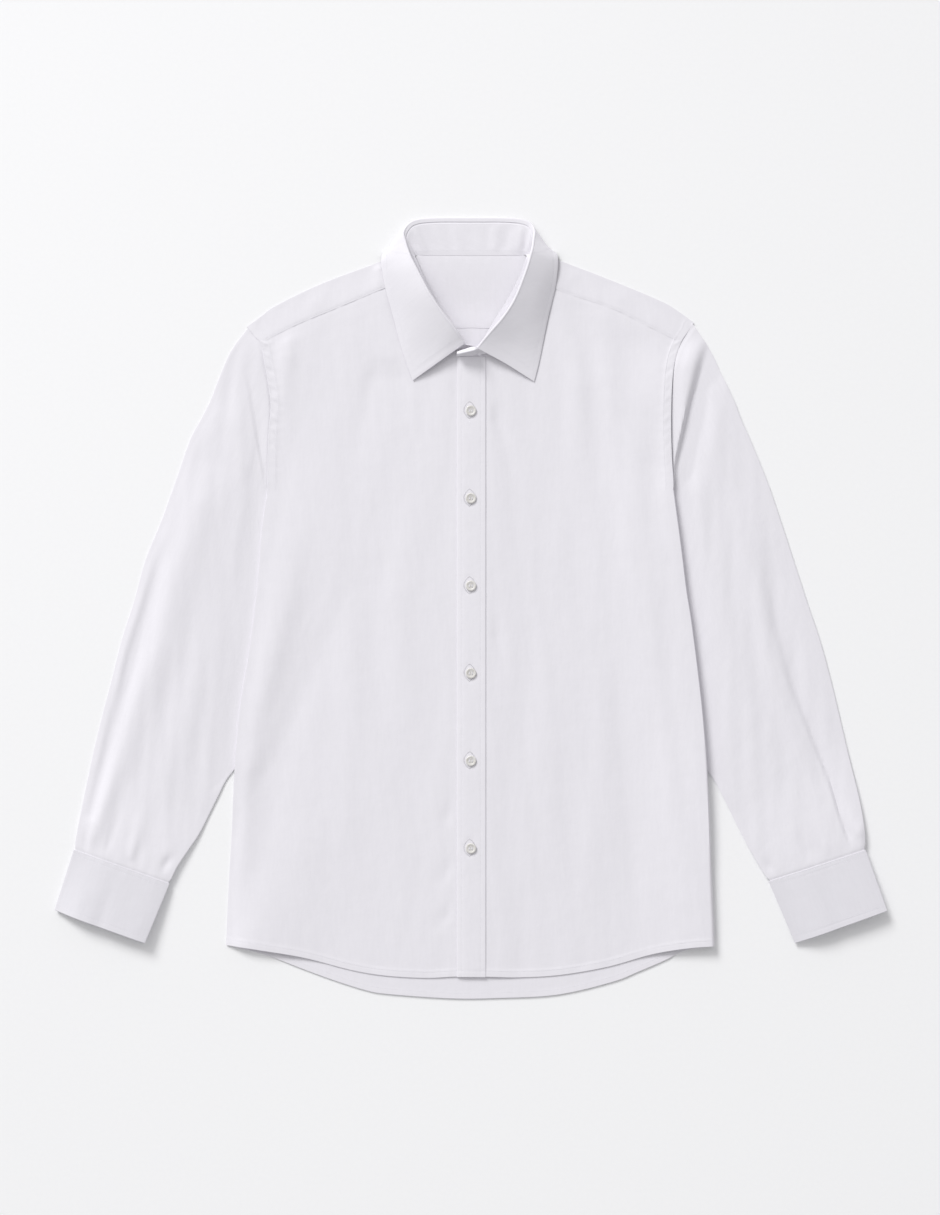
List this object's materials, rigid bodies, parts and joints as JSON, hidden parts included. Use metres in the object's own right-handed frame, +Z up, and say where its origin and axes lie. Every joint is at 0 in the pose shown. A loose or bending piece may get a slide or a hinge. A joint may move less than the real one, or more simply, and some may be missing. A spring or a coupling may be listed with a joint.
{
  "type": "long sleeve dress shirt",
  "caption": "Buttoned long sleeve dress shirt laid flat face up, with a turned-down collar, front placket, yoke, curved hem and banded cuffs.",
  "frame": {"origin": "centre of the laid shirt's bounding box, on the surface it lies on", "axes": "+X to the wearer's left side (the viewer's right), +Y towards the collar, +Z up off the surface"},
  "size_m": [0.8646, 0.8116, 0.0242],
  "materials": {
    "back_panel": "matt cotton poplin, cool white",
    "yoke": "matt cotton poplin, cool white",
    "front_right": "matt cotton poplin, cool white",
    "front_left": "matt cotton poplin, cool white",
    "placket": "matt cotton poplin, cool white, doubled and stitched",
    "collar_stand": "matt cotton poplin, cool white, interfaced",
    "collar_leaf": "matt cotton poplin, cool white, interfaced",
    "sleeve_right": "matt cotton poplin, cool white",
    "sleeve_left": "matt cotton poplin, cool white",
    "cuff_right": "matt cotton poplin, cool white, interfaced",
    "cuff_left": "matt cotton poplin, cool white, interfaced",
    "button": "pearl white, glossy"
  },
  "bodies": {
    "root": {"back_panel": "back_panel", "yoke": "yoke", "front_right": "front_right", "front_left": "front_left", "placket": "placket", "collar_stand": "collar_stand", "collar_leaf": "collar_leaf", "sleeve_right": "sleeve_right", "sleeve_left": "sleeve_left", "cuff_right": "cuff_right", "cuff_left": "cuff_left", "button_1": "button", "button_2": "button", "button_3": "button", "button_4": "button", "button_5": "button", "button_6": "button"}
  },
  "joints": []
}
